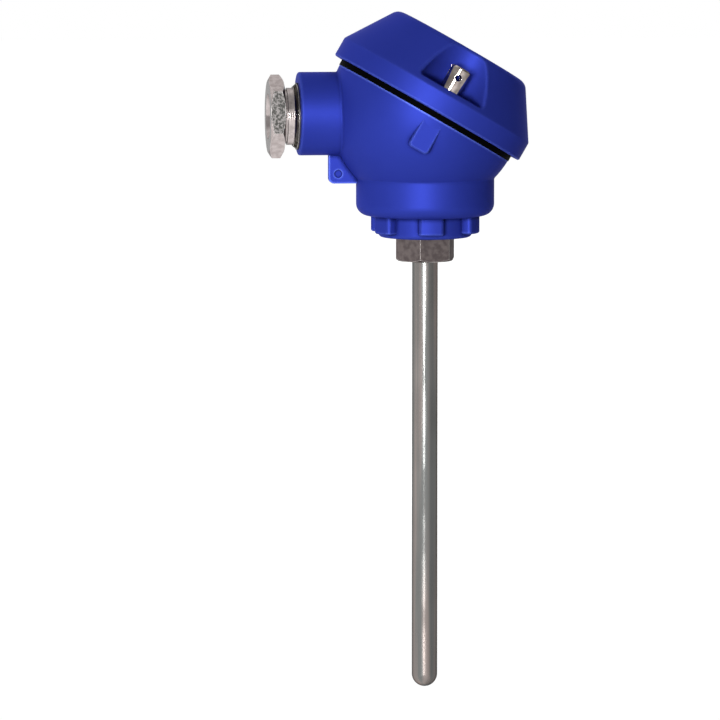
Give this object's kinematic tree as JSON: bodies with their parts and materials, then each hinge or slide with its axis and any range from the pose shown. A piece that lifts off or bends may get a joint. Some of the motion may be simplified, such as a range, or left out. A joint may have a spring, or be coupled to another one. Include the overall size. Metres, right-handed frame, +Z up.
{
  "type": "thermocouple probe",
  "caption": "Temperature probe with a straight metal stem below a cast connection head, which has a tilted hinged lid, a side cable gland and a spring-loaded insert inside.",
  "frame": {"origin": "on the stem's axis, at the underside of the hex nipple", "axes": "+Z up the stem towards the lid, -X out of the cable gland, -Y towards the lid screw, +Y towards the lid hinge"},
  "size_m": [0.0916, 0.0806, 0.2391],
  "materials": {
    "blue_paint": "satin powder coat on cast aluminium",
    "black_rubber": "matt",
    "stainless_steel": "drawn and turned stainless steel",
    "spring_steel": "bright wire",
    "nickel_plate": "nickel-plated brass",
    "brass": "turned brass",
    "white_ceramic": "unglazed steatite",
    "nickel_alloy": "drawn nickel alloy sheath",
    "packed_powder": "packed magnesia powder",
    "sealing_resin": "cast resin",
    "couple_alloy": "bare thermocouple wire"
  },
  "bodies": {
    "head": {"head_body": "blue_paint", "lid_gasket": "black_rubber", "hinge_pin": "stainless_steel", "gland_seal": "black_rubber", "nipple": "stainless_steel", "stem_tube": "stainless_steel", "mounting_screws": "stainless_steel", "insert_springs": "spring_steel", "earth_washer": "nickel_plate", "earth_screw": "nickel_plate"},
    "lid": {"lid": "blue_paint"},
    "screw_ring": {"lid_screw_ring": "spring_steel"},
    "lid_screw": {"lid_screw": "stainless_steel"},
    "gland_washer": {"gland_washer": "nickel_plate"},
    "gland_screw": {"gland_screw": "nickel_plate"},
    "insert": {"insert_plate": "stainless_steel", "terminal_block": "white_ceramic", "terminal_positive": "brass", "terminal_negative": "brass", "terminal_screws": "nickel_plate", "insert_sheath": "nickel_alloy", "sheath_bush": "stainless_steel", "insert_filling": "packed_powder", "sheath_seal": "sealing_resin", "positive_leg": "couple_alloy", "negative_leg": "couple_alloy", "positive_sleeve": "white_ceramic", "negative_sleeve": "white_ceramic"}
  },
  "joints": [
    {"name": "lid_hinge", "type": "hinge", "parent": "head", "child": "lid", "pos_m": [0, 0.0402, 0.0528], "axis": [-0.866, 0, 0.5], "range_deg": [0, 110]},
    {"name": "lid_screw_rise", "type": "slide", "parent": "lid", "child": "screw_ring", "axis": [0.5, 0, 0.866], "range_m": [0, 0.0048]},
    {"name": "lid_screw_turn", "type": "hinge", "parent": "screw_ring", "child": "lid_screw", "pos_m": [0, -0.0295, 0.0528], "axis": [0.5, 0, 0.866], "range_deg": [0, 2160]},
    {"name": "gland_slide", "type": "slide", "parent": "head", "child": "gland_washer", "axis": [-1, 0, 0], "range_m": [-0.002, 0.006]},
    {"name": "gland_turn", "type": "hinge", "parent": "gland_washer", "child": "gland_screw", "pos_m": [-0.045, 0, 0.051], "axis": [-1, 0, 0], "range_deg": [-480, 1440]},
    {"name": "insert_float", "type": "slide", "parent": "head", "child": "insert", "axis": [0, 0, 1], "range_m": [0, 0.003], "stiffness_N_per_m": 6000, "springref_m": -0.006, "deforming": ["insert_springs"]}
  ],
  "couplings": [
    {"joint": "lid_screw_turn", "follows": "lid_screw_rise", "rad_per_m": 7854},
    {"joint": "gland_slide", "follows": "gland_turn", "m_per_rad": 0.00023873}
  ]
}
